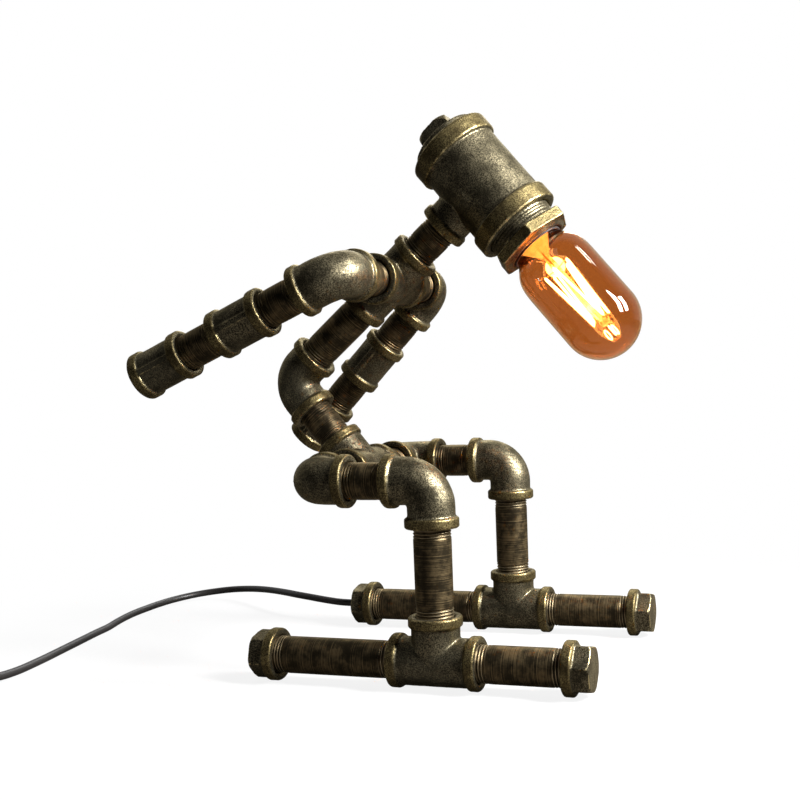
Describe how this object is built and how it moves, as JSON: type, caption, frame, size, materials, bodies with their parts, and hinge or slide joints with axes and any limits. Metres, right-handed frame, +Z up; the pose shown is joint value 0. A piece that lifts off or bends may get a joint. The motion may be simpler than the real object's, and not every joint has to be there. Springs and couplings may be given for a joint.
{
  "type": "desk lamp",
  "caption": "Desk lamp shaped like a crouching robot, built from threaded pipe fittings, with turning joints and a bare bulb for its face.",
  "frame": {"origin": "on the table, under the middle of the lamp without its free cord", "axes": "+X is the way the robot faces, +Y is the robot's left and the side whose foot the cord leaves, +Z is up"},
  "size_m": [0.4547, 0.4371, 0.3287],
  "materials": {
    "blackened_fitting": "blackened casting with antique brass rubbed through on bands, edges and bends",
    "blackened_pipe": "smooth blackened pipe with faint marks round it and brighter thread crests",
    "lampholder_black": "dark moulded insulating body",
    "contact_brass": "plain pressed brass",
    "bulb_cap_metal": "rolled screw base",
    "amber_glass": "clear amber-tinted glass",
    "clear_glass": "clear glass stem",
    "filament": "glowing wire",
    "cord_black": "smooth round flexible cord",
    "cord_fittings_black": "fine moulded texture",
    "rocker_black": "glossy moulded rocker",
    "tie_black": "soft flat tie"
  },
  "bodies": {
    "legs": {"near_foot_tee": "blackened_fitting", "near_front_pipe": "blackened_pipe", "near_rear_pipe": "blackened_pipe", "near_front_cap": "blackened_fitting", "near_rear_cap": "blackened_fitting", "far_foot_tee": "blackened_fitting", "far_front_pipe": "blackened_pipe", "far_rear_pipe": "blackened_pipe", "far_front_cap": "blackened_fitting", "far_rear_cap": "blackened_fitting", "near_shin": "blackened_pipe", "far_shin": "blackened_pipe", "near_knee_elbow": "blackened_fitting", "far_knee_elbow": "blackened_fitting", "near_thigh": "blackened_pipe", "far_thigh": "blackened_pipe", "near_hip_elbow": "blackened_fitting", "far_hip_elbow": "blackened_fitting", "near_hip_nipple": "blackened_pipe", "far_hip_nipple": "blackened_pipe", "grommet": "cord_fittings_black", "cord_lead": "cord_black", "switch_base": "cord_fittings_black", "switch_cover": "cord_fittings_black", "switch_contacts": "contact_brass", "cord_link": "cord_black", "cord_coil": "cord_black", "coil_tie": "tie_black", "cord_tail": "cord_black", "plug_body": "cord_fittings_black", "plug_blades": "contact_brass"},
    "torso": {"hip_tee": "blackened_fitting", "waist_nipple": "blackened_pipe"},
    "spine": {"waist_elbow": "blackened_fitting", "spine_nipple": "blackened_pipe"},
    "shoulders": {"shoulder_cross": "blackened_fitting", "near_shoulder_nipple": "blackened_pipe", "far_shoulder_nipple": "blackened_pipe", "neck_nipple": "blackened_pipe"},
    "near_arm": {"near_shoulder_elbow": "blackened_fitting", "near_upper_nipple": "blackened_pipe", "near_upper_coupling": "blackened_fitting", "near_fore_nipple": "blackened_pipe", "near_hand_coupling": "blackened_fitting"},
    "far_arm": {"far_shoulder_elbow": "blackened_fitting", "far_upper_nipple": "blackened_pipe", "far_upper_coupling": "blackened_fitting", "far_fore_nipple": "blackened_pipe", "far_hand_coupling": "blackened_fitting"},
    "head": {"head_tee": "blackened_fitting", "head_plug": "blackened_fitting", "bushing": "blackened_pipe", "lampholder": "lampholder_black", "holder_shell": "contact_brass", "centre_contact": "contact_brass", "bulb_base": "bulb_cap_metal", "bulb_glass": "amber_glass", "bulb_stem": "clear_glass", "bulb_filament": "filament"},
    "rocker": {"switch_rocker": "rocker_black"}
  },
  "joints": [
    {"name": "torso_lean", "type": "hinge", "parent": "legs", "child": "torso", "pos_m": [-0.03371, 0, 0.11615], "axis": [0, 1, 0], "range_deg": [-12, 15]},
    {"name": "waist_turn", "type": "hinge", "parent": "torso", "child": "spine", "pos_m": [-0.08134, 0, 0.17331], "axis": [-0.6401, 0, 0.7683], "range_deg": [-10, 10]},
    {"name": "spine_turn", "type": "hinge", "parent": "spine", "child": "shoulders", "pos_m": [-0.01012, 0, 0.23265], "axis": [0.7683, 0, 0.6401], "range_deg": [-10, 10]},
    {"name": "near_arm_swing", "type": "hinge", "parent": "shoulders", "child": "near_arm", "pos_m": [-0.01012, -0.0744, 0.23265], "axis": [0, 1, 0], "range_deg": [-25, 112]},
    {"name": "far_arm_swing", "type": "hinge", "parent": "shoulders", "child": "far_arm", "pos_m": [-0.01012, 0.0744, 0.23265], "axis": [0, 1, 0], "range_deg": [-4, 135]},
    {"name": "head_turn", "type": "hinge", "parent": "shoulders", "child": "head", "pos_m": [-0.01012, 0, 0.23265], "axis": [0.7683, 0, 0.6401], "range_deg": [-45, 45]},
    {"name": "switch_rocker_tip", "type": "hinge", "parent": "legs", "child": "rocker", "pos_m": [-0.224, -0.181, 0.0145], "axis": [1, 0, 0], "range_deg": [-18, 0]}
  ]
}
